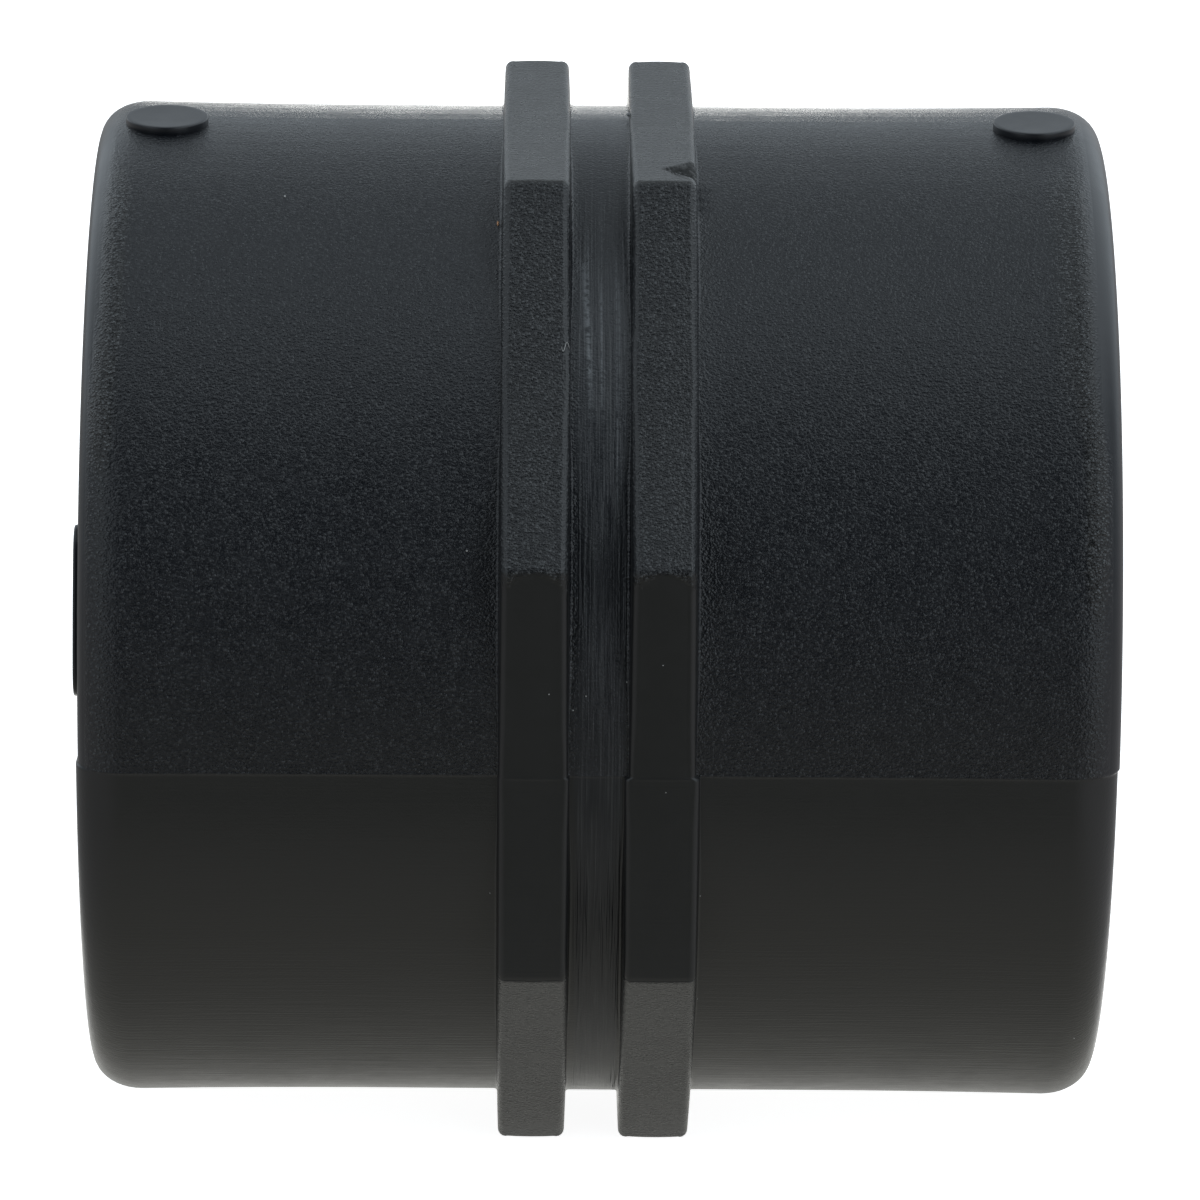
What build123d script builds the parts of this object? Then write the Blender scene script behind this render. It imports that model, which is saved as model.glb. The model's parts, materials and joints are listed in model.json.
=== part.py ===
from build123d import *
import os
from math import cos, hypot, pi, radians, sqrt, tan

# Threaded pipe socket, moulded in one piece from black plastic.
# A short thick-walled barrel is threaded inside from both ends, up to a stop rib at mid-length.
# Two narrow octagonal rings round its middle are the flats that a wrench turns it by.
#
# +X runs along the bore and +Z is up. The origin lies on the bore's axis at mid-length.
# The socket lies as it comes to rest, on the lowest flats of its two rings.
# All sizes are in millimetres.

# Pipe thread, 1 inch parallel, 11 turns to the inch, right-hand, with rounded 55 degree turns
thread_major_diameter = 33.249
thread_pitch = 2.309
thread_depth_per_pitch = 0.640327
mouth_clearance = 0.25

# Barrel
barrel_length = 44.2
wall_over_thread = 5.3755
plain_middle_length = 20.0
end_swell = 0.14
rim_radius = 1.4

# Stop rib between the two threads, standing in from their crests
stop_rib_width = 4.0
stop_rib_height = 1.4
stop_rib_edge_radius = 0.5

# Octagonal wrench rings
ring_sides = 8
ring_thickness = 3.0
ring_gap = 2.6
ring_flat_rise = 0.375
ring_draft_angle = 2.5
ring_corner_radius = 0.5
ring_tip_radius = 0.3

# Round ejector pads on top of the barrel, one near each end
pad_diameter = 3.6
pad_from_end = 3.07
pad_rise = 0.28

# Low raised mark on the left end face
mark_rise = 0.2
mark_width = 2.6
mark_from_rim = 1.6
mark_angle = 162.0
mark_span = 14.0

# Room that a cutting or trimming shape has past what it trims
trim_margin = 2.0

# Worked out from the sizes above
half_length = barrel_length / 2
half_middle = plain_middle_length / 2
half_rib = stop_rib_width / 2
thread_major_radius = thread_major_diameter / 2
thread_minor_radius = thread_major_radius - thread_depth_per_pitch * thread_pitch
mouth_radius = thread_major_radius + mouth_clearance
mouth_depth = mouth_radius - thread_minor_radius
stop_rib_radius = thread_minor_radius - stop_rib_height
barrel_radius = thread_major_radius + wall_over_thread
mid_wall_radius = thread_major_radius + wall_over_thread / 2
end_radius = barrel_radius + end_swell
ring_half_across = barrel_radius + ring_flat_rise
ring_blank_radius = ring_half_across / cos(pi / ring_sides) + trim_margin
ring_offset = (ring_gap + ring_thickness) / 2
pad_offset = half_length - pad_from_end
mark_radius = end_radius - mark_from_rim - mark_width / 2


def ring_half_thickness(radius):
    """Half a ring's thickness, which is full at the barrel and tapers outwards by the draft angle."""
    return ring_thickness / 2 - (radius - barrel_radius) * tan(radians(ring_draft_angle))


def outside_radius(x):
    """The barrel's outer radius at x: plain in the middle, then one long arc that opens to each end."""
    run = max(abs(x) - half_middle, 0)
    full_run = half_length - half_middle
    arc_radius = (full_run**2 + end_swell**2) / (2 * end_swell)
    return barrel_radius + arc_radius - sqrt(arc_radius**2 - run**2)


def distance_from_axis(edge):
    """How far the middle of an edge lies from the bore's axis."""
    middle = edge.position_at(0.5)
    return hypot(middle.Y, middle.Z)


# One wrench ring, centred on the origin: a disc with tapered sides, trimmed to a rounded octagon
with BuildPart() as wrench_ring:
    with BuildSketch(Plane.XZ):
        with BuildLine():
            Polyline(
                (-ring_half_thickness(mid_wall_radius), mid_wall_radius),
                (-ring_half_thickness(ring_blank_radius), ring_blank_radius),
                (ring_half_thickness(ring_blank_radius), ring_blank_radius),
                (ring_half_thickness(mid_wall_radius), mid_wall_radius),
                close=True,
            )
        make_face()
    revolve(axis=Axis.X)
    with BuildSketch(Plane.YZ) as octagon:
        RegularPolygon(ring_half_across, ring_sides, major_radius=False, rotation=180 / ring_sides)
        fillet(octagon.vertices(), ring_corner_radius)
    extrude(amount=ring_thickness, both=True, mode=Mode.INTERSECT)
    outer_edges = wrench_ring.edges().filter_by(lambda edge: distance_from_axis(edge) > barrel_radius)
    fillet(outer_edges.filter_by(Axis.X, reverse=True), ring_tip_radius)

with BuildPart() as socket_body:
    # Wall section, swept round the bore: the outside, the mouths, the thread bores and the stop rib
    with BuildSketch(Plane.XZ) as wall_section:
        with BuildLine():
            Line((0, barrel_radius), (half_middle, barrel_radius))
            TangentArc((half_middle, barrel_radius), (half_length, end_radius), tangent=(1, 0))
            Polyline(
                (half_length, end_radius),
                (half_length, mouth_radius),
                (half_length - mouth_depth, thread_minor_radius),
                (half_rib, thread_minor_radius),
                (half_rib, stop_rib_radius),
                (0, stop_rib_radius),
            )
            mirror(about=Plane.YZ)
        make_face()
        fillet(wall_section.vertices().group_by(Axis.Y)[-1], rim_radius)
        fillet(wall_section.vertices().group_by(Axis.Y)[0], stop_rib_edge_radius)
    revolve(axis=Axis.X)

    # The two rings, side by side at mid-length
    with Locations((-ring_offset, 0, 0), (ring_offset, 0, 0)):
        add(wrench_ring.part)

    # Flat round pads where the ejector pins pressed, low on the crown of the barrel
    pad_top = outside_radius(pad_offset) + pad_rise
    with BuildSketch(Plane.XY.offset(pad_top)):
        with Locations((-pad_offset, 0), (pad_offset, 0)):
            Circle(pad_diameter / 2)
    extrude(amount=mid_wall_radius - pad_top)

    # Plain raised mark on the left end face, curved with the rim
    with BuildSketch(Plane.YZ.offset(-half_length)):
        SlotArc(CenterArc((0, 0), mark_radius, mark_angle - mark_span / 2, mark_span), mark_width)
    extrude(amount=-mark_rise)

socket_body.part.label = "socket_body"

os.makedirs("parts", exist_ok=True)
export_step(socket_body.part, "parts/socket_body.step")

thread_wall = half_length - mouth_depth - half_rib
print("thread bore radius", round(thread_minor_radius, 4), "wall length", round(thread_wall, 3))
print("across the ring flats", 2 * ring_half_across, "pad top", round(pad_top, 3))
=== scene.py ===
# %% [markdown]
# # A threaded pipe socket, moulded in black plastic
#
# The object joins two pipes. It is a short thick tube with a screw thread inside each mouth, and two
# eight-sided rings round its middle for a wrench. A mould with two halves made it in one shot, so it is
# one piece of plastic, and what makes it look real is what the mould left on it: grain from spark
# erosion, a line where the halves met, discs from the pins that pushed it out and a torn gate.
#
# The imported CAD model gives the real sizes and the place. This lesson builds the skin that is seen.

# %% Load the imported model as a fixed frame
import json

import bmesh
import bpy
import numpy as np
from mathutils import Matrix, Vector


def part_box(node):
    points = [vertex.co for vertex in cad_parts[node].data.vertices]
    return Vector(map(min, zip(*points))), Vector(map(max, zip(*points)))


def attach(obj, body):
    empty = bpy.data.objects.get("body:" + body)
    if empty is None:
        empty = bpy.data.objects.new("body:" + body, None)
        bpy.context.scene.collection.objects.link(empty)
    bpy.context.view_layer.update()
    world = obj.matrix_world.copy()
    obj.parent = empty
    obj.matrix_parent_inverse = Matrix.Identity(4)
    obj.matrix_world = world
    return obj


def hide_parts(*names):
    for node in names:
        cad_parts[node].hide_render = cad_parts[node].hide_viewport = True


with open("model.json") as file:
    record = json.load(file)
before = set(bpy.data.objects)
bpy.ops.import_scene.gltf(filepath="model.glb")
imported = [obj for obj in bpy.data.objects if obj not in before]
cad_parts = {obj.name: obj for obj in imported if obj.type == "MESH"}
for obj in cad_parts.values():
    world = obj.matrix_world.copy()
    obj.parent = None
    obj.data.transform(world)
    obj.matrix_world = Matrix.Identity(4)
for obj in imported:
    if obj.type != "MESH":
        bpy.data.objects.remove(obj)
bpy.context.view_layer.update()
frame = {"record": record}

# %% [markdown]
# ## Sizes
#
# Blender works in metres here, but a socket is easier to think about in millimetres, so every shape
# below is worked out in millimetres and turned into metres at the last moment. The large sizes are read
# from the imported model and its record. The thread's depth and its rounding are the fixed shares of the
# pitch that every parallel pipe thread has. The rest are small sizes of the barrel and its rims.

# %% Sizes of the socket, in millimetres
MM = 0.001
body_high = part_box("socket_body")[1]
half_length = body_high.x / MM
flat_reach = body_high.z / MM
thread_mount = next(m for m in frame["record"]["mounts"] if m["name"] == "thread_right")
crest_radius = thread_mount["dims"]["r_mm"]

thread_pitch = 2.309
thread_depth = 0.640327 * thread_pitch
thread_round = 0.137329 * thread_pitch
mouth_clearance = 0.25
flat_rise = 0.375
end_swell = 0.14
rim_radius = 1.4
rim_length = 2.0
half_middle = 10.0
barrel_radius = flat_reach - flat_rise
end_radius = barrel_radius + end_swell
print("half length", round(half_length, 3), "flats at", round(flat_reach, 3))
print("barrel", round(barrel_radius, 3), "thread crests", round(crest_radius, 3))
print("thread", round(thread_depth, 3), "deep, one turn every", thread_pitch)

# %% [markdown]
# ## The camera
#
# The photograph was taken from far away with a long lens, 20 degrees above the table and square to the
# barrel. A long lens is what makes the two end faces nearly vanish. The camera looks at a point a
# fraction of a millimetre from the middle, and is rolled by half a degree, as a hand-set tripod is.

# %% Place the camera on a direction, a distance and an aim point
camera_distance = 353.087
camera_azimuth = np.radians(-0.524)
camera_elevation = np.radians(20.087)
camera_roll = np.radians(0.564)
aim_right, aim_up = 0.17, -0.113
picture_width = 1200
focal_length_in_pixels = 7869.0


def camera_axes(azimuth, elevation):
    """The directions right, up and back of a camera that stands at this azimuth and elevation."""
    back = Vector((
        np.sin(azimuth) * np.cos(elevation),
        -np.cos(azimuth) * np.cos(elevation),
        np.sin(elevation),
    ))
    right = Vector((np.cos(azimuth), np.sin(azimuth), 0))
    return right, back.cross(right), back


right, up, back = camera_axes(camera_azimuth, camera_elevation)
eye = back * camera_distance
gaze = (eye - right * aim_right - up * aim_up).normalized()
right = (right - gaze * right.dot(gaze)).normalized()
up = gaze.cross(right)
rolled_right = right * np.cos(camera_roll) + up * np.sin(camera_roll)
rolled_up = up * np.cos(camera_roll) - right * np.sin(camera_roll)

camera = bpy.data.objects.new("camera", bpy.data.cameras.new("camera"))
camera.data.sensor_width = 36.0
camera.data.lens = camera.data.sensor_width * focal_length_in_pixels / picture_width
camera.data.clip_start = 0.01
camera.data.clip_end = 10.0
turn_of_camera = Matrix((rolled_right, rolled_up, gaze)).transposed().to_4x4()
camera.matrix_world = Matrix.Translation(eye * MM) @ turn_of_camera
bpy.context.scene.collection.objects.link(camera)
bpy.context.scene.camera = camera
print("lens", round(camera.data.lens, 1), "mm at", [round(c, 2) for c in eye], "mm")

# %% [markdown]
# ## A way to say where a point of the socket is
#
# Everything on the socket goes round one axis, so its surface is a function of two parameters: which
# row of the wall section the point is on, and how far round it is. The angle is 0 at the top and grows
# towards the viewer, so the parting line of the mould is at 90 degrees, facing the camera.

# %% Points from rows and angles, and meshes from points
def smooth_step(value, start, end):
    """0 up to start, 1 from end on, and an S between them: 3 s squared minus 2 s cubed."""
    share = np.clip((value - start) / (end - start), 0, 1)
    return share * share * (3 - 2 * share)


def around_axis(along, radius, angle):
    """x is the place along the axis, y is minus radius times sine, and z is radius times cosine."""
    return np.stack(np.broadcast_arrays(along, -radius * np.sin(angle), radius * np.cos(angle)), axis=-1)


def mesh_from_grid(name, points, wrap_rows=False, maps=None):
    """Quads between neighbouring rows and columns of a grid of points, or of several grids in one mesh.
    Columns close on themselves, rows only if asked. Each map is one number a point, kept as an attribute
    for the materials."""
    rows, columns = points.shape[-3:-1]
    grids = points.size // (3 * rows * columns)
    row = np.arange(rows if wrap_rows else rows - 1)[:, None]
    column = np.arange(columns)[None, :]
    next_row, next_column = (row + 1) % rows, (column + 1) % columns
    corners = [row * columns + column, row * columns + next_column,
               next_row * columns + next_column, next_row * columns + column]
    quads = np.stack(corners, axis=-1).reshape(-1, 4)
    quads = (quads + rows * columns * np.arange(grids)[:, None, None]).reshape(-1, 4)
    mesh = bpy.data.meshes.new(name)
    mesh.vertices.add(grids * rows * columns)
    mesh.vertices.foreach_set("co", (points * MM).astype(np.float32).ravel())
    mesh.loops.add(quads.size)
    mesh.loops.foreach_set("vertex_index", quads.astype(np.int32).ravel())
    mesh.polygons.add(len(quads))
    mesh.polygons.foreach_set("loop_start", np.arange(0, quads.size, 4, dtype=np.int32))
    mesh.update(calc_edges=True)
    for map_name, values in (maps or {}).items():
        layer = mesh.attributes.new(map_name, "FLOAT", "POINT")
        layer.data.foreach_set("value", np.broadcast_to(values, (rows, columns)).astype(np.float32).ravel())
    return mesh


def close_and_smooth(mesh):
    """Merges the points that meet at poles and seams, turns every face outwards and shades it smooth."""
    shell = bmesh.new()
    shell.from_mesh(mesh)
    bmesh.ops.remove_doubles(shell, verts=shell.verts, dist=1e-7)
    bmesh.ops.recalc_face_normals(shell, faces=shell.faces)
    open_edges = sum(not edge.is_manifold for edge in shell.edges)
    volume = shell.calc_volume(signed=True) / MM**3
    shell.to_mesh(mesh)
    shell.free()
    mesh.polygons.foreach_set("use_smooth", np.ones(len(mesh.polygons), bool))
    triangles = sum(len(face.vertices) - 2 for face in mesh.polygons)
    print(mesh.name, triangles, "triangles,", open_edges, "open edges,", round(volume, 3), "cubic mm")


def add_piece(mesh, material=None):
    """Puts a mesh into the scene as a piece that rides on the CAD body."""
    piece = bpy.data.objects.new(mesh.name, mesh)
    bpy.context.scene.collection.objects.link(piece)
    if material:
        mesh.materials.append(material)
    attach(piece, "root")
    return piece


print("1 mm out at 90 degrees is", around_axis(0.0, 1.0, np.pi / 2).round(3), "so it faces the viewer")

# %% [markdown]
# ## Where the columns go
#
# The rings are octagons with slightly rounded corners. An even spacing would either miss those corners or
# waste points on the flats, so the columns crowd where the surface turns or where there is something
# small to see: at the eight corners, at the parting line, at the edge of the grain and at the torn gate.

# %% Angles of the columns, in degrees
ring_sides = 8
side_angle = 360 / ring_sides
corner_radius = 0.5
corner_centre = (flat_reach - corner_radius) / np.cos(np.pi / ring_sides)
corner_half_angle = np.degrees(np.arctan2(
    corner_radius * np.sin(np.pi / ring_sides),
    corner_centre + corner_radius * np.cos(np.pi / ring_sides),
))
beside_corner = [-0.95, -0.62, 0.62, 0.95]
flat_margin = 2.2
parting_width = 0.12
gate_angles = np.arange(14.6, 22.3, 0.3)
grain_edge_angles = np.arange(68.2, 70.6, 0.5)


def column_angles():
    """Every column's angle from -180 to 180 degrees, sorted, with near twins dropped."""
    corner = np.concatenate([np.linspace(-1, 1, 7) * corner_half_angle, beside_corner])
    flat = np.linspace(flat_margin, side_angle - flat_margin, 15)
    one_side = np.concatenate([corner, flat])
    corners = (np.arange(ring_sides) - ring_sides / 2 + 0.5) * side_angle
    parting = np.array([-3, -1, 1, 3]) * parting_width
    angles = np.concatenate([(corners[:, None] + one_side).ravel(), 90 + parting, -90 + parting])
    angles = np.concatenate([angles, gate_angles, grain_edge_angles])
    angles = np.sort((angles + 180) % 360 - 180)
    return angles[np.append(np.diff(angles) > 0.05, True)]


degrees = column_angles()
angle = np.radians(degrees)
lower_half = smooth_step(np.abs(degrees), 90 - parting_width, 90 + parting_width)
print(len(degrees), "columns, corner arcs of", round(2 * corner_half_angle, 3), "degrees")

# %% [markdown]
# ## The outside, one stretch at a time
#
# Each function below gives a stretch of rows as two arrays, the place along the axis and the radius, for
# every row and column. The barrel swells a little towards its ends, in one long arc. Its edges are round,
# because a sharp edge chips and would be hard to fill.
#
# The two mould halves never close perfectly. Here the lower half sits 0.08 mm further left, so a small
# step runs along the parting line, with a hair of flash standing on it.

# %% End faces, rims and barrel
mould_shift = -0.079
flash_height = 0.025
face_inner = crest_radius + thread_depth + mouth_clearance
face_middle = 19.0
face_outer = end_radius - rim_radius - 0.03


def barrel_reach(x):
    """The barrel's radius at x: plain in the middle, then the arc of a circle that opens to each end."""
    run = np.clip(np.abs(x) - half_middle, 0, None)
    full_run = half_length - half_middle
    arc = (full_run**2 + end_swell**2) / (2 * end_swell)
    return barrel_radius + arc - np.sqrt(arc**2 - run**2)


def flash(strength=1.0):
    """The thin raised line at the parting plane, a narrow bell round 90 degrees on both sides."""
    return strength * flash_height * np.exp(-((np.abs(degrees) - 90) / parting_width) ** 2)


def as_rows(values):
    """A list of values as a column of rows, ready to spread over all the angles."""
    return np.asarray(values, float)[:, None] + np.zeros_like(angle)


def rim_rows(end):
    """The round edge from the end face to the barrel, a quarter of an ellipse, for end -1 or +1. It is
    the sine of the turn outwards and the cosine along. Rows run along +x."""
    turn = np.radians(np.linspace(0, 90, 12))
    along = end * (half_length - rim_length + rim_length * np.cos(turn))
    radius = barrel_reach(half_length - rim_length) - rim_radius + rim_radius * np.sin(turn)
    along, radius = (along, radius) if end < 0 else (along[::-1], radius[::-1])
    flash_share = as_rows(np.sin(turn[::-end]) ** 2)
    return as_rows(along) + mould_shift * lower_half, as_rows(radius) + flash_share * flash()


def face_rows(end):
    """The flat end face, inner edge first on the left and outer edge first on the right."""
    radius = np.array([face_inner, face_inner + 0.25, face_middle, 20.2, 20.55])
    shift = smooth_step(radius, face_middle, face_outer)
    radius, shift = (radius, shift) if end < 0 else (radius[::-1], shift[::-1])
    along = as_rows(end * half_length * np.ones_like(radius))
    return along + as_rows(shift) * mould_shift * lower_half, as_rows(radius)


def barrel_rows(start, end, count):
    """A stretch of the barrel between two places along the axis, without its two ends."""
    along = as_rows(np.linspace(start, end, count + 2)[1:-1])
    return along + mould_shift * lower_half, barrel_reach(along) + flash()


print("barrel opens to", round(float(barrel_reach(half_length)), 3))
print("end faces from", round(face_inner, 3), "to", round(face_outer, 3))

# %% [markdown]
# ## The wrench rings
#
# A ring's outline is an octagon whose corners are small arcs. Seen along the axis, its radius at an angle
# is the flat's distance divided by the cosine of the angle off that flat's middle, except within half a
# degree of a corner, where the arc takes over. The sides lean inwards by a draft angle, so that the mould
# lets go, and a small radius runs round the tip and at the root.

# %% Octagon, ring sides and tips
ring_draft = np.radians(1.5)
ring_tip = 0.34
ring_root = 0.14
ring_crown = 0.035
band_radius = barrel_radius + 0.04
left_ring_upper, left_ring_lower = (-4.28, -1.32), (-4.30, -1.25)
right_ring_upper, right_ring_lower = (1.25, 4.10), (1.07, 4.27)


def octagon(reach):
    """Radius of the rounded octagon whose flats are this far out. Near a corner it is the far side of the
    corner's circle: centre times cosine, plus the root of radius squared less centre times sine squared."""
    off_corner = (degrees % side_angle) - side_angle / 2
    off_flat = side_angle / 2 - np.abs(off_corner)
    centre = (reach - corner_radius) / np.cos(np.pi / ring_sides)
    bend = np.radians(off_corner)
    arc = centre * np.cos(bend) + np.sqrt(np.clip(corner_radius**2 - (centre * np.sin(bend)) ** 2, 0, None))
    return np.where(np.abs(off_corner) < corner_half_angle, arc, reach / np.cos(np.radians(off_flat)))


def ring_side_rows(root_x, inward, floor):
    """One side of a ring from its root to the edge of its flat: root arc, leaning side and tip arc."""
    tip = np.minimum(ring_tip, 0.8 * (octagon(flat_reach - ring_crown) - floor))
    tip_start = octagon(flat_reach - ring_crown - tip)
    root = np.minimum(ring_root, 0.4 * (tip_start - floor))
    turn = as_rows(np.radians([0, 22.5, 45, 67.5]))
    rise = as_rows([0, 0.12, 0.5, 0.88, 1])
    side_radius = floor + root + rise * (tip_start - floor - root)
    radius = np.concatenate([floor + root * (1 - np.cos(turn)), side_radius])
    along = np.concatenate([-root * (1 - np.sin(turn)), np.zeros_like(side_radius)])
    along = root_x + inward * (along + (radius - floor) * np.tan(ring_draft))
    tip_turn = as_rows(np.radians([22.5, 45, 67.5, 90]))
    edge = along[-1] + inward * tip * (1 - np.cos(tip_turn))
    depth = ring_crown + tip * (1 - np.sin(tip_turn))
    return np.concatenate([along, edge]), np.concatenate([radius, octagon(flat_reach - depth)])


def ring_rows(upper, lower, left_floor, right_floor, flat_shares):
    """A whole ring: left side, flat and right side. The flat has a slight crown and falls to its edges."""
    left_x = upper[0] + (lower[0] - upper[0]) * lower_half
    right_x = upper[1] + (lower[1] - upper[1]) * lower_half
    left_along, left_radius = ring_side_rows(left_x, 1, left_floor)
    right_along, right_radius = ring_side_rows(right_x, -1, right_floor)
    share = as_rows(flat_shares)
    along = left_along[-1] + share * (right_along[-1] - left_along[-1])
    radius = octagon(flat_reach - ring_crown * (2 * share - 1) ** 2) - 0.8 * flash_height + flash(0.8)
    return (np.concatenate([left_along, along, right_along[::-1]]),
            np.concatenate([left_radius, radius, right_radius[::-1]]))


print("ring flats at", round(flat_reach, 3), "and corners at", octagon(flat_reach).max().round(3))

# %% [markdown]
# ## The torn gate
#
# The plastic was shot in through a small gate at the corner of the right-hand ring. When the runner was
# snapped off it tore a wedge out of the corner: a triangle with fine ridges that fan out from its tip,
# and a bright lip along its lower edge. It is a hollow in the ring's own surface, not a sticker, so it
# is cut into the radius of the rows and columns that were crowded there.

# %% Depth of the tear, worked out on a fan of its own two parameters
tear_tip_x, tear_end_x = 2.59, 4.06
tear_tip_angle = 18.5
tear_upper_spread, tear_lower_spread = 3.3, 3.4
tear_first_angle, tear_last_angle = 13, 24
tear_depth = 0.30


def torn_gate(along):
    """How far the surface lies below the ring's flat. One parameter runs from the tip to the ring's side,
    the other across the fan from its upper edge to its lip."""
    out = (along - tear_tip_x) / (tear_end_x - tear_tip_x)
    reach = np.clip(out, 0.02, 1.2)
    spread = (tear_upper_spread + tear_lower_spread) * reach
    across = (degrees - (tear_tip_angle - tear_upper_spread * reach)) / spread
    inside = smooth_step(across, 0.0, 0.16) * smooth_step(-across, -0.98, -0.84)
    inside = inside * smooth_step(out, 0.0, 0.12)
    ridges = 0.42 * np.cos(2 * np.pi * (4.4 * across + 0.3 * np.sin(5 * out)))
    ridges = 0.85 + ridges + 0.1 * np.sin(9 * out + 14 * across)
    lip_ends = smooth_step(out, 0.0, 0.2) * smooth_step(-out, -1.05, -0.85)
    lip = np.exp(-((across - 0.93) / 0.075) ** 2) * lip_ends
    gutter_ends = smooth_step(out, 0.0, 0.1) * smooth_step(-out, -0.75, -0.3)
    gutter = np.exp(-((across - 1.12) / 0.06) ** 2) * gutter_ends
    near = (degrees > tear_first_angle) & (degrees < tear_last_angle)
    return near * (tear_depth * inside * np.clip(out, 0, 1) ** 0.6 * ridges - 0.03 * lip + 0.05 * gutter)


print("tear", round(tear_end_x - tear_tip_x, 2), "long and", tear_depth, "deep between its ridges")

# %% [markdown]
# ## Streaks between the rings
#
# The narrow band between the rings was turned on a lathe when the mould was made, and slid past the steel
# when the socket came out. Both leave fine raised streaks that run round it. Each streak is a narrow bell
# across and a window along its angles. The rows of the band crowd at the places where the streaks are.

# %% Height of the streaks, from 0 to 1
streak_rise = 0.014
streak_places = np.array([-0.80, -0.62, -0.44, -0.03, 0.13, 0.66, 0.97])


def streak(x, place, drift, width, start, stop):
    """A bell round a line that drifts along the axis, and runs from the start angle to the stop angle."""
    middle = place + drift * (degrees - start) / (stop - start)
    ends = smooth_step(degrees, start - 2, start + 3) * smooth_step(-degrees, -stop - 2, -stop + 3)
    return np.exp(-((x - middle) / width) ** 2) * ends


def band_streaks(x):
    """All the streaks together: one bright line, a faint pair, a brushed patch and two short dashes."""
    bright = 0.3 * streak(x, -0.03, 0, 0.04, 17, 31) + 1.0 * streak(x, -0.03, 0.03, 0.045, 33, 49)
    pair = 0.6 * streak(x, 0.60, 0.08, 0.03, 28, 60) + 0.5 * streak(x, 0.71, 0.08, 0.03, 31, 57)
    brushed = 0.8 * streak(x, -0.80, 0.38, 0.13, 29, 48) + 0.5 * streak(x, -0.62, 0.1, 0.04, 24, 52)
    dashes = 0.5 * streak(x, 0.13, 0, 0.03, 43, 48) + 0.6 * streak(x, 0.97, 0, 0.035, 28, 33)
    return bright + pair + brushed + dashes


print(len(streak_places), "places with streaks, up to", streak_rise, "mm high")

# %% [markdown]
# ## The thread inside
#
# A pipe thread has flanks 55 degrees apart, with round crests and roots, and climbs 2.309 mm a turn. Along
# the axis its height repeats every pitch. Going round, the pattern slides along by one pitch per turn, and
# that slide is the whole helix: the phase is the place along the axis minus the share of a turn. The
# first turns are cut down by the mouth's chamfer, and the last one fades out before the stop rib.

# %% Thread profile, chamfer and stop rib
flank = np.radians(27.5)
rib_half_width = 2.0
rib_height = 1.4
rib_edge = 0.5
thread_start_x, thread_start_angle = 3.84, 60.0
rows_per_turn = 12


def thread_height(phase):
    """Height above the crest, over one pitch: an arc, a straight flank, and the same arc turned over."""
    from_crest = np.abs((phase + 0.5) % 1 - 0.5) * thread_pitch
    half = thread_pitch / 4
    from_middle = np.where(from_crest > half, 2 * half - from_crest, from_crest)
    arc_end = thread_round * np.cos(flank)
    arc = thread_round - np.sqrt(np.clip(thread_round**2 - from_middle**2, 0, None))
    line = thread_round * (1 - np.sin(flank)) + (from_middle - arc_end) / np.tan(flank)
    rise = np.where(from_middle < arc_end, arc, line)
    return np.where(from_crest > half, thread_depth - rise, rise)


def bore_rows(end):
    """The wall from the mouth to the stop rib for end +1, or back out again for end -1."""
    count = int(round((half_length - rib_half_width) / thread_pitch * rows_per_turn))
    along = end * np.linspace(half_length, rib_half_width, count)
    along = as_rows(along if end > 0 else along[::-1])
    turns_round = (end * degrees - thread_start_angle) / 360
    phase = (np.abs(along) - thread_start_x) / thread_pitch - turns_round + 0.5
    fade = smooth_step(np.abs(along), rib_half_width + 0.5, rib_half_width + 0.5 + thread_pitch)
    chamfer = face_inner - (half_length - np.abs(along))
    return along, np.maximum(crest_radius + fade * thread_height(phase), chamfer)


def rib_rows():
    """The stop rib at mid-length: wall, rounded edge, plain waterway, rounded edge, wall."""
    turn = np.radians(np.linspace(0, 90, 6))
    top = crest_radius - rib_height
    edge_along = rib_half_width - rib_edge + rib_edge * np.cos(turn)
    edge_radius = top + rib_edge * (1 - np.sin(turn))
    along = np.concatenate([[rib_half_width], edge_along, [0.5]])
    radius = np.concatenate([[crest_radius - 0.25], edge_radius, [top]])
    return as_rows(np.concatenate([along, -along[::-1]])), as_rows(np.concatenate([radius, radius[::-1]]))


print(len(bore_rows(1)[0]), "rows in each bore,", rows_per_turn, "to a turn")

# %% [markdown]
# ## One closed skin
#
# All the stretches follow each other round the wall section, out of one mouth, over the outside, in at
# the other mouth and back through the bore. So the last row meets the first, as the columns do, and
# the whole socket is a single closed grid, a ring doughnut with very fine detail.

# %% Join the stretches and shape the torn gate
even_flat = np.concatenate([[0.05], np.linspace(0.2, 0.8, 5), [0.95]])
tear_flat = np.concatenate([[0.05, 0.2, 0.35, 0.45], np.linspace(0.52, 0.97, 17)])
band_width = right_ring_upper[0] - left_ring_upper[1] - 2 * ring_root
streak_rows = streak_places[:, None] + [-0.08, -0.04, 0, 0.04, 0.08]
streak_shares = (streak_rows - left_ring_upper[1] - ring_root) / band_width
band_shares = np.sort(np.concatenate([np.linspace(0, 1, 9)[1:-1], streak_shares.ravel()]))
band_shares = band_shares[np.append(np.diff(band_shares) > 0.012, True)]
band_left = left_ring_upper[1] + (left_ring_lower[1] - left_ring_upper[1]) * lower_half + ring_root
band_right = right_ring_upper[0] + (right_ring_lower[0] - right_ring_upper[0]) * lower_half - ring_root
band_along = band_left + as_rows(band_shares) * (band_right - band_left)
band = band_along, band_radius + flash() + streak_rise * band_streaks(band_along)

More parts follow.
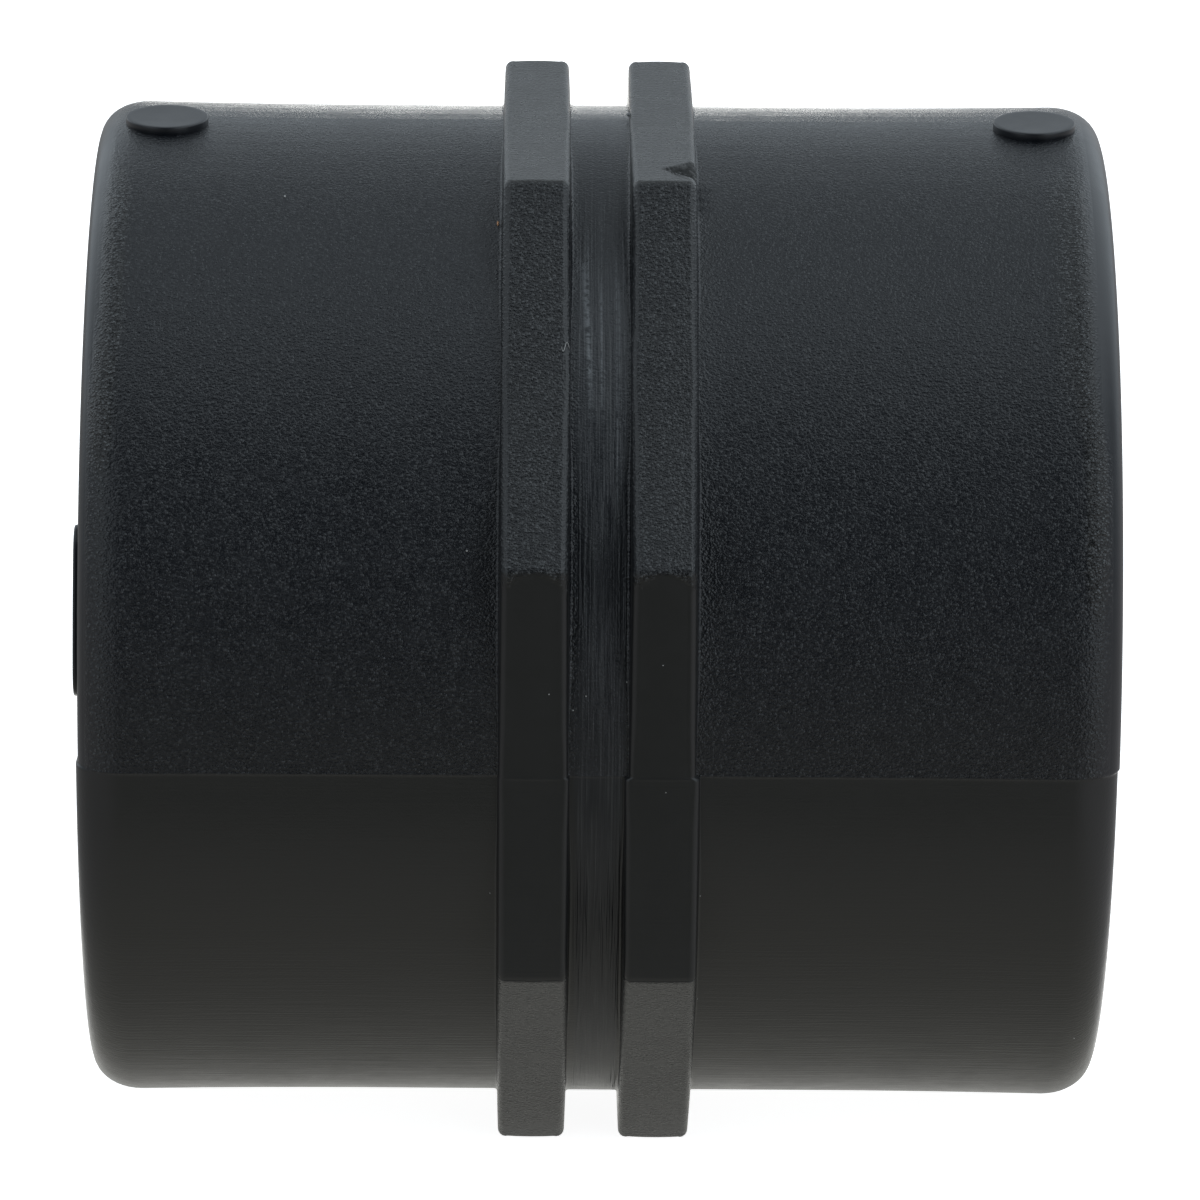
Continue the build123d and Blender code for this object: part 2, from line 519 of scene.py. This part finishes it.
stretches = {
    "left_face": face_rows(-1),
    "left_rim": rim_rows(-1),
    "left_barrel": barrel_rows(-half_length + rim_length, left_ring_upper[0] - ring_root, 14),
    "left_ring": ring_rows(left_ring_upper, left_ring_lower, barrel_radius, band_radius, even_flat),
    "band": band,
    "right_ring": ring_rows(right_ring_upper, right_ring_lower, band_radius, barrel_radius, tear_flat),
    "right_barrel": barrel_rows(right_ring_upper[1] + ring_root + 0.1, half_length - rim_length, 14),
    "right_rim": rim_rows(1),
    "right_face": face_rows(1),
    "right_bore": bore_rows(1),
    "rib": rib_rows(),
    "left_bore": bore_rows(-1),
}
row_names = np.concatenate([[name] * len(rows[0]) for name, rows in stretches.items()])
along = np.concatenate([rows[0] for rows in stretches.values()])
radius = np.concatenate([rows[1] for rows in stretches.values()])
right_ring_rows = row_names == "right_ring"
near_tip = smooth_step(radius, octagon(flat_reach) - 0.9, octagon(flat_reach) - 0.4)
radius[right_ring_rows] -= (near_tip * torn_gate(along))[right_ring_rows]
print(along.shape[0], "rows by", along.shape[1], "columns")

# %% [markdown]
# ## Where each finish goes
#
# The upper half of the mould was spark eroded. It leaves a fine grain with pale dots, which are painted
# glints, and a leathery band near each rim. The lower half was polished along the axis. Its paler colour is
# partly painted reflection of the floor, growing towards the bottom. The rings have patches of their own:
# pale and flat on top, where the paleness is painted sheen, coarse on the slanting facet, and smooth where
# they face the viewer. The streaks in the band are scuffed, and the tear is rough. Each finish gets a map
# with one number for every point of the grid, worked out from the same rows and angles, and the material
# reads the maps as attributes.

# %% Maps of grain, polish and wear over the grid
turned = np.abs(degrees)
facet = np.round(turned / side_angle).astype(int)
upper_half = 1 - lower_half
on_barrel = np.char.find(row_names, "barrel")[:, None] >= 0
on_rims = (np.char.find(row_names, "rim") >= 0)[:, None]
ring_rows_only = (np.char.find(row_names, "ring") >= 0)[:, None]
on_rings = ring_rows_only * smooth_step(radius, barrel_radius + 0.06, barrel_radius + 0.20)
on_outside = on_barrel + ring_rows_only * (1 - on_rings)
on_band = (row_names == "band")[:, None]

leather_left = 20.85 + 0.3 * smooth_step(degrees, 35, 50)
leather_middle = np.where(along < 0, leather_left, 20.45 + 0.48 * smooth_step(degrees, 44, 56))
leather_end = np.where(along < 0, 54.0, 70.0)
# The leathery band near each rim is real creases in the bump. Through the dots map it also carries the most
# painted glints.
leather_and_glints = np.exp(-((np.abs(along) - leather_middle) / 0.36) ** 2) * smooth_step(degrees, 10, 20)
leather_and_glints = leather_and_glints * (0.15 + 0.85 * smooth_step(leather_end - degrees, -3, 3))
leather_and_glints = leather_and_glints * upper_half * (on_rims | on_barrel)
rim_grain = upper_half * smooth_step(leather_middle + 0.5 - np.abs(along), -0.15, 0.15)

ring_middle = np.where(along < 0, -2.80, 2.68)
arch_edge = 67.7 + 1.6 * ((along - ring_middle) / 1.35) ** 2
slanting = smooth_step(arch_edge - turned, -0.35, 0.35) * smooth_step(turned, 22.0, 22.8)
ring_grain = np.where(facet == 0, 0.8, np.where(facet < 3, 1.15 * slanting, 1.0))
ring_dots_and_glints = np.where(facet == 0, 0.12, np.where(facet < 3, 0.5 * slanting, 0.25))
ring_edge = np.exp(-((np.abs(along - ring_middle) - 1.30) / 0.13) ** 2) * slanting * on_rings
# The dots map sets the grain's dots in the bump, a darker base, and pale peaks that are painted glints.
dots_and_glints = upper_half * (0.25 * on_outside + 0.12 * on_band) + on_rims * 0.25 * rim_grain
dots_and_glints = dots_and_glints + on_rings * ring_dots_and_glints * (1 - 0.5 * ring_edge) + 2.0 * leather_and_glints

grain = on_outside * (upper_half + 0.12 * lower_half) + on_rims * (rim_grain + 0.05)
grain = grain + on_rings * ring_grain * (1 - 0.8 * ring_edge)
grain = grain + on_band * (0.55 * upper_half + 0.1 * lower_half)
# Polish: the lower half's polished finish, paler towards the bottom as painted reflection of the floor. On
# the rings' top facets its pale colour is painted sheen.
low_down = smooth_step(turned, 100, 140)
polish_and_sheen = (on_outside + on_rims) * lower_half * (0.8 + 1.6 * low_down)
polish_and_sheen = polish_and_sheen + on_rings * np.where(facet == 0, 2.2, np.where(facet == 2, 0.7, 0.3)) * np.ones_like(along)
turning = on_band * (0.4 + 0.8 * smooth_step(turned, 15, 40)) * np.ones_like(along)
scuff = on_band * np.clip(band_streaks(along), 0, 1)
torn = right_ring_rows[:, None] * np.clip(np.abs(torn_gate(along)) / tear_depth, 0, 1)
maps = {"grain": grain, "dots_and_glints": dots_and_glints, "leather_and_glints": leather_and_glints, "polish_and_sheen": polish_and_sheen, "turning": turning,
        "scuff": scuff, "torn": torn}
print({name: round(float(values.mean()), 3) for name, values in maps.items()})

# %% [markdown]
# ## Building blocks for a material
#
# A material is a small network of nodes. Wired by hand, node by node, the code gets long and its idea gets
# lost, so each helper makes one kind of node and hands back its output. The noises read Object coordinates
# in real millimetres, so the grain has the same size everywhere on the socket.

# %% Small helpers for node trees
def new_material(name):
    """A material with an empty Principled surface, and its node tree."""
    material = bpy.data.materials.new(name)
    material.use_nodes = True
    return material, material.node_tree, material.node_tree.nodes["Principled BSDF"]


def math_node(tree, operation, first, second=0.5, third=0.5, clamp=False):
    """One math operation on numbers or on other nodes' outputs."""
    node = tree.nodes.new("ShaderNodeMath")
    node.operation = operation
    node.use_clamp = clamp
    for socket, value in zip(node.inputs, (first, second, third)):
        if isinstance(value, (int, float)):
            socket.default_value = value
        else:
            tree.links.new(value, socket)
    return node.outputs[0]


def object_noise(tree, cell, stretch=(1, 1, 1), detail=2.0, roughness=0.5, distortion=0.0):
    """A noise over Object coordinates. Its cells have this size in millimetres, times the stretch."""
    place = tree.nodes.new("ShaderNodeTexCoord")
    mapping = tree.nodes.new("ShaderNodeMapping")
    mapping.inputs["Scale"].default_value = [1 / (cell * MM * share) for share in stretch]
    noise = tree.nodes.new("ShaderNodeTexNoise")
    noise.inputs["Scale"].default_value = 1.0
    noise.inputs["Detail"].default_value = detail
    noise.inputs["Roughness"].default_value = roughness
    noise.inputs["Distortion"].default_value = distortion
    tree.links.new(place.outputs["Object"], mapping.inputs["Vector"])
    tree.links.new(mapping.outputs["Vector"], noise.inputs["Vector"])
    return noise.outputs["Fac"]


def object_dots(tree, cell, size):
    """Round peaks scattered over Object coordinates, one in every cell of this many millimetres: 1 in the
    middle of a peak and 0 from this share of a cell on."""
    place = tree.nodes.new("ShaderNodeTexCoord")
    cells = tree.nodes.new("ShaderNodeTexVoronoi")
    cells.inputs["Scale"].default_value = 1 / (cell * MM)
    tree.links.new(place.outputs["Object"], cells.inputs["Vector"])
    return step_between(tree, cells.outputs["Distance"], size, 0.05)


def read_map(tree, name):
    """One of the maps on the mesh. It is 0 on a piece that has no such map."""
    node = tree.nodes.new("ShaderNodeAttribute")
    node.attribute_name = name
    return node.outputs["Fac"]


def colour_between(tree, share, first, second):
    """A colour that goes from the first to the second as share goes from 0 to 1."""
    mix = tree.nodes.new("ShaderNodeMix")
    mix.data_type = "RGBA"
    tree.links.new(share, mix.inputs[0])
    for socket, colour in zip(mix.inputs[6:8], (first, second)):
        if isinstance(colour, tuple):
            socket.default_value = (*colour, 1)
        else:
            tree.links.new(colour, socket)
    return mix.outputs[2]


def step_between(tree, value, start, end):
    """A node that goes smoothly from 0 at the start to 1 at the end."""
    node = tree.nodes.new("ShaderNodeMapRange")
    node.interpolation_type = "SMOOTHSTEP"
    node.inputs["From Min"].default_value = start
    node.inputs["From Max"].default_value = end
    tree.links.new(value, node.inputs["Value"])
    return node.outputs[0]


# %% [markdown]
# ## The black plastic
#
# Black polypropylene sends back only about one hundredth of the light that enters it. Nearly all that
# is seen is the reflection from its surface, so the bump and the roughness do more than the colour. The
# grain is a noise with cells of about 0.13 mm. The polish and the turning marks use the same noise pulled
# out along or around the axis, by scaling its coordinates unevenly. One bump takes the sum of them all, so
# every finish is one entry in a short list.

# %% The plastic, with a bump for each way the mould was finished
def black_plastic():
    """Black polypropylene. Its height is a sum of noises, each times the map that says where it belongs.
    The peaks of the grain are also paler, as painted glints. The polished parts are paler too, with painted
    sheen and painted reflection of the floor."""
    material, tree, surface = new_material("black_plastic")
    grain_map, leather_map, polish_and_sheen_map = (read_map(tree, name) for name in ("grain", "leather_and_glints", "polish_and_sheen"))
    turning_map, scuff_map, torn_map = (read_map(tree, name) for name in ("turning", "scuff", "torn"))
    dots_and_glints_map = read_map(tree, "dots_and_glints")

    pebbles = object_noise(tree, 0.13, stretch=(1.25, 1, 1), detail=2.0, roughness=0.6)
    fine = object_noise(tree, 0.075, stretch=(1.2, 1, 1), detail=1.0)
    dots_and_glints = object_dots(tree, 0.15, 0.55)
    creases = object_noise(tree, 0.24, stretch=(1.4, 1, 1), detail=2.0, roughness=0.6, distortion=0.5)
    polish_lines = object_noise(tree, 0.10, stretch=(40, 1, 1), detail=2.0)
    turning_lines = object_noise(tree, 0.10, stretch=(1, 60, 60), detail=2.0, roughness=0.6)
    mottle = object_noise(tree, 0.7, detail=2.0, roughness=0.65)
    blotches = object_noise(tree, 2.6, detail=2.0, roughness=0.6)

    height = math_node(tree, "MULTIPLY", pebbles, math_node(tree, "MULTIPLY", grain_map, 0.75))
    height = math_node(tree, "MULTIPLY_ADD", fine, 0.04, height)
    finishes = (
        (fine, grain_map, 0.35), (dots_and_glints, dots_and_glints_map, 0.7), (creases, leather_map, 3.6),
        (polish_lines, polish_and_sheen_map, 0.12), (turning_lines, turning_map, 0.8), (pebbles, torn_map, 1.2),
    )
    for noise, where, strength in finishes:
        here = math_node(tree, "MULTIPLY", where, strength)
        height = math_node(tree, "MULTIPLY_ADD", noise, here, height)
    bump = tree.nodes.new("ShaderNodeBump")
    bump.inputs["Strength"].default_value = 1.0
    bump.inputs["Distance"].default_value = 0.06 * MM
    tree.links.new(height, bump.inputs["Height"])
    tree.links.new(bump.outputs["Normal"], surface.inputs["Normal"])

    # Pale peaks are painted glints, where a dot sits on a high pebble.
    painted_glints = math_node(tree, "MULTIPLY", dots_and_glints, step_between(tree, pebbles, 0.35, 0.65))
    painted_glints = math_node(tree, "MULTIPLY", painted_glints, dots_and_glints_map, clamp=True)
    lines = step_between(tree, turning_lines, 0.5, 0.75)
    lines = math_node(tree, "MULTIPLY", lines, turning_map, clamp=True)
    worn = math_node(tree, "MULTIPLY", scuff_map, step_between(tree, creases, 0.30, 0.58))
    # Colours, from the base up: blotches, mottle, polish with painted sheen and painted floor reflection, a
    # darker base under the dots, painted glints on the peaks, turned lines and scuffs
    colour = colour_between(tree, blotches, (0.0035, 0.0046, 0.0072), (0.0058, 0.0070, 0.0100))
    colour = colour_between(tree, step_between(tree, mottle, 0.3, 0.8), colour, (0.0082, 0.0094, 0.0125))
    # Polish colour: partly the finish, partly painted floor reflection low down, and painted sheen on the
    # rings' top facets.
    colour = colour_between(tree, polish_and_sheen_map, colour, (0.0125, 0.0125, 0.0118))
    # A darker base under the dots.
    colour = colour_between(tree, dots_and_glints_map, colour, (0.0020, 0.0022, 0.0026))
    # Painted glints on the grain's peaks.
    colour = colour_between(tree, painted_glints, colour, (0.1000, 0.1080, 0.1130))
    colour = colour_between(tree, lines, colour, (0.0240, 0.0260, 0.0280))
    colour = colour_between(tree, worn, colour, (0.1000, 0.1060, 0.1120))
    tree.links.new(colour, surface.inputs["Base Color"])

    # Duller in the blotches, the mottle and the tear, glossier on the grain's cells
    roughness = math_node(tree, "MULTIPLY_ADD", blotches, 0.10, 0.25)
    roughness = math_node(tree, "MULTIPLY_ADD", mottle, 0.08, roughness)
    roughness = math_node(tree, "MULTIPLY_ADD", grain_map, -0.07, roughness)
    roughness = math_node(tree, "MULTIPLY_ADD", torn_map, 0.35, roughness)
    tree.links.new(roughness, surface.inputs["Roughness"])
    surface.inputs["IOR"].default_value = 1.49
    return material


plastic = black_plastic()
print("plastic has", len(plastic.node_tree.nodes), "nodes")

# %% [markdown]
# ## The moulding
#
# The grid of places, radii and angles now becomes points in space, and then one mesh that closes on itself
# both ways. It replaces the plain CAD body in the picture and rides on it.

# %% Make the moulding
skin = around_axis(along, radius, angle)
moulding_mesh = mesh_from_grid("socket_moulding", skin, wrap_rows=True, maps=maps)
close_and_smooth(moulding_mesh)
moulding = add_piece(moulding_mesh, plastic)
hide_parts("socket_body")

# %% [markdown]
# ## Ejector pads
#
# Two pins pushed the socket out of its mould. Each left a low disc with a crisp edge and a slightly
# hollow top. A disc is a profile turned about its own axis, from the middle of the top out over the
# edge and down into the barrel, and back to the axis below, so it is closed and has two poles.

# %% Turn a pad and set one near each end
pad_radius = 1.8
pad_from_end = 3.07
pad_rise = 0.28
pad_edge = 0.07
pad_hollow = 0.02
pad_hollow_reach = 1.6
pad_sunk = 0.75


def turned_disc(name, centre_x, top, columns=96):
    """Radius from the disc's own axis and height, turned round: x and y are the circle, z the height."""
    edge = np.radians(np.linspace(0, 90, 5))
    top_reach = np.array([0, 0.5, 1.2, 1.55])
    edge_reach = pad_radius - pad_edge * (1 - np.sin(edge))
    reach = np.concatenate([top_reach, edge_reach, [pad_radius, pad_radius, 0]])
    top_drop = pad_hollow * (1 - (top_reach / pad_hollow_reach) ** 4)
    drop = np.concatenate([top_drop, pad_edge * (1 - np.cos(edge)), [pad_edge + 0.1, pad_sunk, pad_sunk]])
    turn = np.linspace(0, 2 * np.pi, columns, endpoint=False)
    x, y = centre_x + reach[:, None] * np.cos(turn), reach[:, None] * np.sin(turn)
    return mesh_from_grid(name, np.stack(np.broadcast_arrays(x, y, top - drop[:, None]), axis=-1))


for side, end in (("left", -1), ("right", 1)):
    pad_x = end * (half_length - pad_from_end)
    pad_mesh = turned_disc(f"ejector_pad_{side}", pad_x, float(barrel_reach(pad_x)) + pad_rise)
    close_and_smooth(pad_mesh)
    add_piece(pad_mesh, plastic)

# %% [markdown]
# ## The mark on the left end face
#
# A low curved bar stands on the left end face and just breaks the outline. Its outline is an arc-shaped
# slot, which is every point at one distance from a short arc. Shrinking that distance to nothing closes
# the top and the bottom, so the same outline function makes every row.

# %% Sweep the slot outline up, over its edge and in to its middle line
mark_rise = 0.2
mark_sunk = 0.15
mark_from_rim = 1.6
mark_half_width, mark_middle = 1.3, 0.7
mark_from, mark_to = 65.0, 79.0
mark_edge = 0.08
mark_line = end_radius - mark_from_rim - mark_half_width


def ring_point(turn):
    """The point or points of a unit circle at an angle: its cosine and sine."""
    return np.stack([np.cos(turn), np.sin(turn)])


def slot_outline(distance, columns_each=20):
    """Polar radius and angle of the points at a distance from the arc: outer arc, cap, inner arc, cap."""
    share = np.linspace(0, 1, columns_each)
    start, stop = np.radians(mark_from), np.radians(mark_to)
    sweep = start + (stop - start) * share
    cap = np.pi * share[1:-1]
    outer = (mark_line + distance) * ring_point(sweep)
    inner = (mark_line - distance) * ring_point(sweep[::-1])
    far = mark_line * ring_point(stop)[:, None] + distance * ring_point(stop + cap)
    near = mark_line * ring_point(start)[:, None] - distance * ring_point(start + cap)
    return np.concatenate([outer, far, inner, near], axis=1)


edge_turn = np.radians([0, 30, 60, 90])
edge_distances = mark_half_width - mark_edge * (1 - np.cos(edge_turn))
edge_heights = mark_rise - mark_edge * (1 - np.sin(edge_turn))
mark_distances = [0, mark_half_width, *edge_distances, mark_middle, 0]
mark_heights = [-mark_sunk, -mark_sunk, *edge_heights, mark_rise, mark_rise]
outlines = np.stack([slot_outline(distance) for distance in mark_distances])
mark_x = -half_length - np.array(mark_heights)[:, None] + np.zeros(outlines.shape[2])
mark_mesh = mesh_from_grid("end_mark", np.stack([mark_x, -outlines[:, 1], outlines[:, 0]], axis=-1))
close_and_smooth(mark_mesh)
add_piece(mark_mesh, plastic)

# %% [markdown]
# ## Dust and a burr
#
# Nothing that has been handled is clean. A few pale specks lie on the front, and one amber grain. A speck
# is a ball squashed against the surface: two directions lie in the surface, along the axis and around it,
# and the third stands out of it. The same shape, pulled long, makes the burr on the right ring's edge,
# which is the socket's own plastic.

# %% Squashed balls on the skin
def squashed_balls(name, places, reach, half_sizes, rows=7, columns=10):
    """Every ball is sine times cosine, sine times sine and cosine of its two angles, stretched by its
    half sizes along the axis, around it and outwards, at its place along the axis and its angle."""
    x, turn = np.array(places, float).T
    zero = np.zeros_like(turn)
    outwards = np.stack([zero, -np.sin(np.radians(turn)), np.cos(np.radians(turn))], axis=-1)
    around = np.stack([zero, -np.cos(np.radians(turn)), -np.sin(np.radians(turn))], axis=-1)
    lengthwise = np.stack([zero + 1, zero, zero], axis=-1)
    centre = x[:, None] * lengthwise + np.array(reach, float)[:, None] * outwards
    polar = np.linspace(0, np.pi, rows)[:, None]
    spin = np.linspace(0, 2 * np.pi, columns, endpoint=False)
    flat_part = np.sin(polar) * np.cos(spin), np.sin(polar) * np.sin(spin)
    ball = np.stack(np.broadcast_arrays(*flat_part, np.cos(polar)))
    axes = np.stack([lengthwise, around, outwards], axis=1) * np.array(half_sizes, float)[..., :, None]
    return mesh_from_grid(name, centre[:, None, None, :] + np.einsum("drc,ndx->nrcx", ball, axes))


def plain_material(name, colour, roughness=0.6):
    """One even colour and roughness."""
    material, tree, surface = new_material(name)
    surface.inputs["Base Color"].default_value = (*colour, 1)
    surface.inputs["Roughness"].default_value = roughness
    return material


dust = plain_material("dust", (0.32, 0.32, 0.31))
amber = plain_material("amber_grit", (0.60, 0.30, 0.14))
speck_places = [(-13.65, 18.8), (-2.15, 80.3), (-1.13, 82.4), (-0.59, 80.8), (1.13, 79.2), (2.63, 77.0),
                (2.82, 91.5), (4.35, 105.1), (-4.59, 104.9), (4.35, 121.7), (20.8, 129.3), (-5.64, 64.9)]
speck_reach = [22.09, 22.66, 22.04, 22.04, 22.04, 22.93, 22.35, 22.01, 22.0, 22.01, 22.10, 22.0]
speck_sizes = [(0.04, 0.08, 0.03)] + [(0.035, 0.035, 0.025)] * 10 + [(0.05, 0.04, 0.03)]
speck_mesh = squashed_balls("dust_specks", speck_places, speck_reach, np.array(speck_sizes))
grit_mesh = squashed_balls("amber_grit", [(-4.46, 23.2)], [22.03], (0.045, 0.16, 0.04))
burr_mesh = squashed_balls("ring_burr", [(1.22, -3.0)], [22.27], (0.10, 0.36, 0.05))
for mesh, material, slot in ((speck_mesh, dust, None), (grit_mesh, amber, None),
                             (burr_mesh, plastic, "black_plastic")):
    close_and_smooth(mesh)
    add_piece(mesh, material)

# %% [markdown]
# ## A fibre
#
# A short fibre is caught at the right edge of the left ring. It is a circle carried along a wavy line: at
# each point of the line two directions across it are found, and the circle is cosine times the one and sine
# times the other. The tube thins out to nothing at both ends, which closes it.

# %% A fibre, as a tube along a bent line
fibre_radius = 0.016
fibre_start_x, fibre_length = -1.72, 0.36
fibre_bend_x, fibre_slope = -1.45, 0.9
fibre_angle, fibre_wave = 41.6, 0.7
fibre_height = 22.42
share = np.linspace(0, 1, 24)
fibre_x = fibre_start_x + fibre_length * share
fibre_turn = np.radians(fibre_angle + fibre_wave * np.sin(2.2 * np.pi * share) * (1 - 0.4 * share))
fibre_drop = fibre_slope * (fibre_x - fibre_bend_x)
fibre_reach = np.where(fibre_x < fibre_bend_x, fibre_height, fibre_height - fibre_drop)
line = around_axis(fibre_x, fibre_reach, fibre_turn)
ahead = np.gradient(line, axis=0)
ahead /= np.linalg.norm(ahead, axis=1, keepdims=True)
sideways = np.cross(ahead, (0, 0, 1))
sideways /= np.linalg.norm(sideways, axis=1, keepdims=True)
upwards = np.cross(sideways, ahead)
spin = np.linspace(0, 2 * np.pi, 8, endpoint=False)[None, :, None]
thickness = fibre_radius * np.sin(np.pi * share)[:, None, None] ** 0.25
tube = line[:, None] + thickness * (np.cos(spin) * sideways[:, None] + np.sin(spin) * upwards[:, None])
fibre_mesh = mesh_from_grid("mould_fibre", tube)
close_and_smooth(fibre_mesh)
add_piece(fibre_mesh, dust)

# %% [markdown]
# ## The light table
#
# The photograph was taken on a light table: white from below, broad white sheets behind and above, and a
# dark room on the camera's side. That is why black plastic shows a pale rim at its top and bottom and
# goes nearly black where it faces the camera. Only what the plastic mirrors matters, so the camera sees a
# plain white floor, while the plastic sees one that is brighter in some places than in others.

# %% Light table
floor_size = 3.0
floor_z = -flat_reach
front_glow, warm_white, behind_glow = (0.20, 0.21, 0.19), (0.45, 0.45, 0.42), (3.6, 3.6, 3.5)
left_glow, right_glow = (0.41, 0.41, 0.41), (0.56, 0.56, 0.57)
near_start, near_full = -0.075, -0.035
behind_start, behind_full = -0.012, 0.012
side_start, side_full = 0.024, 0.045


def light_table():
    """A pale floor. The camera sees it white; reflections see how bright the table is at each place, in
    metres: dull in front, warm white near the object, bright behind it, and duller again at both sides."""
    material, tree, surface = new_material("light_table")
    surface.inputs["Base Color"].default_value = (0.82, 0.82, 0.82, 1)
    surface.inputs["Roughness"].default_value = 0.9
    surface.inputs["Emission Color"].default_value = (1, 1, 1, 1)
    surface.inputs["Emission Strength"].default_value = 0.93
    place = tree.nodes.new("ShaderNodeTexCoord")
    split = tree.nodes.new("ShaderNodeSeparateXYZ")
    tree.links.new(place.outputs["Object"], split.inputs[0])
    x, y = split.outputs["X"], split.outputs["Y"]
    near = colour_between(tree, step_between(tree, y, near_start, near_full), front_glow, warm_white)
    middle = colour_between(tree, step_between(tree, y, behind_start, behind_full), near, behind_glow)
    left = colour_between(tree, step_between(tree, x, -side_start, -side_full), middle, left_glow)
    glow_colour = colour_between(tree, step_between(tree, x, side_start, side_full), left, right_glow)
    glow = tree.nodes.new("ShaderNodeEmission")
    tree.links.new(glow_colour, glow.inputs["Color"])
    path = tree.nodes.new("ShaderNodeLightPath")
    choose = tree.nodes.new("ShaderNodeMixShader")
    tree.links.new(path.outputs["Is Camera Ray"], choose.inputs[0])
    tree.links.new(glow.outputs[0], choose.inputs[1])
    tree.links.new(surface.outputs[0], choose.inputs[2])
    tree.links.new(choose.outputs[0], tree.nodes["Material Output"].inputs["Surface"])
    return material


floor_mesh = bpy.data.meshes.new("floor")
half_floor = floor_size / 2
corner_signs = ((-1, -1), (1, -1), (1, 1), (-1, 1))
floor_corners = [(x * half_floor, y * half_floor, floor_z * MM) for x, y in corner_signs]
floor_mesh.from_pydata(floor_corners, [], [(0, 1, 2, 3)])
floor_mesh.materials.append(light_table())
floor = bpy.data.objects.new("floor", floor_mesh)
bpy.context.scene.collection.objects.link(floor)
print("floor", floor_size, "m wide at", round(floor_z, 3), "mm, under the lowest flats")

# %% [markdown]
# ## The room
#
# The world stands for what the plastic mirrors of the room. From the camera's side over the top to the
# back it is dark, bright overhead, dimmer behind and brighter again low down. The walls at both sides are
# bright and end in a duller stretch, and the corners at the back are bright. The camera sees plain white.

# %% A sky in bands, with brighter walls at both sides
sky_tint = np.array([0.90, 1.00, 1.08])
sky_levels = {0.0: 0.01, 0.15: 0.065, 0.3: 0.105, 0.42: 0.77, 0.5: 0.98,
              0.58: 0.82, 0.7: 0.36, 0.85: 0.42, 1.0: 0.72}
left_wall_level, right_wall_level = 0.96, 1.42
wall_end_level, back_corner_level = 0.41, 1.22
wall_start, wall_full = 0.25, 0.55
wall_end_start, wall_end_full = 0.70, 0.95
corner_start, corner_full = 0.2, 0.6


def studio_sky():
    """World light by direction: y is -1 towards the camera's side and +1 behind the object, x is -1 at
    the left and +1 at the right."""
    world = bpy.data.worlds.new("studio_sky")
    world.use_nodes = True
    tree = world.node_tree
    place = tree.nodes.new("ShaderNodeTexCoord")
    split = tree.nodes.new("ShaderNodeSeparateXYZ")
    tree.links.new(place.outputs["Generated"], split.inputs[0])
    ramp = tree.nodes.new("ShaderNodeValToRGB")
    while len(ramp.color_ramp.elements) < len(sky_levels):
        ramp.color_ramp.elements.new(0.5)
    for element, (position, level) in zip(ramp.color_ramp.elements, sky_levels.items()):
        element.position = position
        element.color = (*(level * sky_tint), 1)
    tree.links.new(math_node(tree, "MULTIPLY_ADD", split.outputs["Y"], 0.5, 0.5), ramp.inputs[0])
    x, y = split.outputs["X"], split.outputs["Y"]
    seen = ramp.outputs[0]
    for side, level in ((-1, left_wall_level), (1, right_wall_level)):
        wall_colour, end_colour = tuple(level * sky_tint), tuple(wall_end_level * sky_tint)
        wall = step_between(tree, x, side * wall_start, side * wall_full)
        wall_end = step_between(tree, x, side * wall_end_start, side * wall_end_full)
        seen = colour_between(tree, wall, seen, wall_colour)
        seen = colour_between(tree, wall_end, seen, end_colour)
    aside = step_between(tree, math_node(tree, "ABSOLUTE", x), wall_start, wall_full)
    corner = math_node(tree, "MULTIPLY", step_between(tree, y, corner_start, corner_full), aside)
    seen = colour_between(tree, corner, seen, tuple(back_corner_level * sky_tint))
    path = tree.nodes.new("ShaderNodeLightPath")
    seen = colour_between(tree, path.outputs["Is Camera Ray"], seen, (1, 1, 1))
    tree.links.new(seen, tree.nodes["Background"].inputs["Color"])
    return world


bpy.context.scene.world = studio_sky()
bpy.context.scene.view_settings.view_transform = "Standard"
print("sky levels from", min(sky_levels.values()), "to", max(sky_levels.values()))

# %% [markdown]
# ## The lamp
#
# One long lamp high on the right gives the edges of the rings and the grain their small bright glints. Its
# power is its level times pi times its area, so it stays as bright to look at when its size is changed.

# %% A long strip lamp on the right
lamp_level = 0.45
lamp = bpy.data.objects.new("strip_lamp", bpy.data.lights.new("strip_lamp", "AREA"))
lamp.data.shape = "RECTANGLE"
lamp.data.size, lamp.data.size_y = 0.16, 1.0
lamp.data.color = (0.82, 0.96, 1.0)
lamp.data.energy = lamp_level * np.pi * lamp.data.size * lamp.data.size_y
lamp.location = (0.22, 0.05, 0.6)
lamp.rotation_euler = (0, np.radians(20), 0)
bpy.context.scene.collection.objects.link(lamp)
print("strip lamp of", round(lamp.data.energy, 3), "W")
